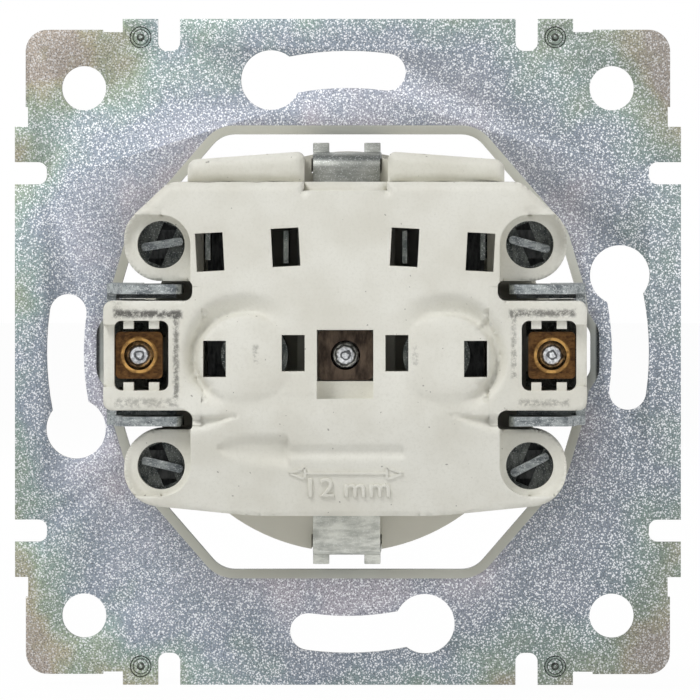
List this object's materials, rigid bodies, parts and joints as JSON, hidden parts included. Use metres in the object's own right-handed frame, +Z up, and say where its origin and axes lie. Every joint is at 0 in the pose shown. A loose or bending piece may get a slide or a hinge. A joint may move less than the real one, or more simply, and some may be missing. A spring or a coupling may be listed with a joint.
{
  "type": "type f wall socket",
  "caption": "Earthed round-pin wall socket insert with a pierced square steel support frame, a round plug well, push-in wire clamps and spreading claws.",
  "frame": {"origin": "centre of the support frame, on its rear face, which lies on the wall", "axes": "+Y to the rear, into the wall box; +Z up; +X to the left of someone looking at the rear"},
  "size_m": [0.0706, 0.0364, 0.0706],
  "materials": {
    "frame_steel": "zinc-plated and passivated, fine bright speckle",
    "ivory_plastic": "moulded thermoset, slightly satin",
    "well_plastic": "moulded, satin",
    "tinned_steel": "tinned spring strip, rolled marks",
    "dark_brass": "darkened, brushed",
    "screw_steel": "bright zinc",
    "nut_brass": "tarnished, brighter on the collar",
    "claw_steel": "zinc-plated, speckled",
    "contact_tinned": "tinned, dull grey",
    "spring_steel": "dark rolled spring steel"
  },
  "bodies": {
    "housing": {"support_frame": "frame_steel", "rear_base": "ivory_plastic", "plug_well": "well_plastic", "earth_bracket": "tinned_steel", "centre_nut_plate": "dark_brass", "centre_screw": "screw_steel", "pin_contact_left": "contact_tinned", "pin_contact_right": "contact_tinned", "pin_spring_left": "spring_steel", "pin_spring_right": "spring_steel", "earth_spring_left": "spring_steel", "earth_spring_right": "spring_steel", "clamp_spring_upper_left": "spring_steel", "clamp_spring_upper_right": "spring_steel", "clamp_spring_lower_left": "spring_steel", "clamp_spring_lower_right": "spring_steel", "clamp_bar_upper_left": "claw_steel", "clamp_bar_upper_right": "claw_steel", "clamp_bar_lower_left": "claw_steel", "clamp_bar_lower_right": "claw_steel"},
    "left_screw": {"claw_screw_left": "screw_steel"},
    "left_nut": {"claw_nut_left": "nut_brass"},
    "left_claw": {"claw_left": "claw_steel"},
    "right_screw": {"claw_screw_right": "screw_steel"},
    "right_nut": {"claw_nut_right": "nut_brass"},
    "right_claw": {"claw_right": "claw_steel"}
  },
  "joints": [
    {"name": "left_screw_turn", "type": "hinge", "parent": "housing", "child": "left_screw", "pos_m": [0.02155, 0.012, 0], "axis": [0, 1, 0], "range_deg": [0, 3060]},
    {"name": "left_nut_travel", "type": "slide", "parent": "housing", "child": "left_nut", "axis": [0, -1, 0], "range_m": [0, 0.00425]},
    {"name": "left_claw_spread", "type": "hinge", "parent": "housing", "child": "left_claw", "pos_m": [0.0246, -0.0006, 0], "axis": [0, 0, -1], "range_deg": [0, 18]},
    {"name": "right_screw_turn", "type": "hinge", "parent": "housing", "child": "right_screw", "pos_m": [-0.02155, 0.012, 0], "axis": [0, 1, 0], "range_deg": [0, 3060]},
    {"name": "right_nut_travel", "type": "slide", "parent": "housing", "child": "right_nut", "axis": [0, -1, 0], "range_m": [0, 0.00425]},
    {"name": "right_claw_spread", "type": "hinge", "parent": "housing", "child": "right_claw", "pos_m": [-0.0246, -0.0006, 0], "axis": [0, 0, 1], "range_deg": [0, 18]}
  ],
  "couplings": [
    {"joint": "left_screw_turn", "follows": "left_claw_spread", "ratio": 170},
    {"joint": "left_nut_travel", "follows": "left_claw_spread", "m_per_rad": 0.013528},
    {"joint": "right_screw_turn", "follows": "right_claw_spread", "ratio": 170},
    {"joint": "right_nut_travel", "follows": "right_claw_spread", "m_per_rad": 0.013528}
  ]
}
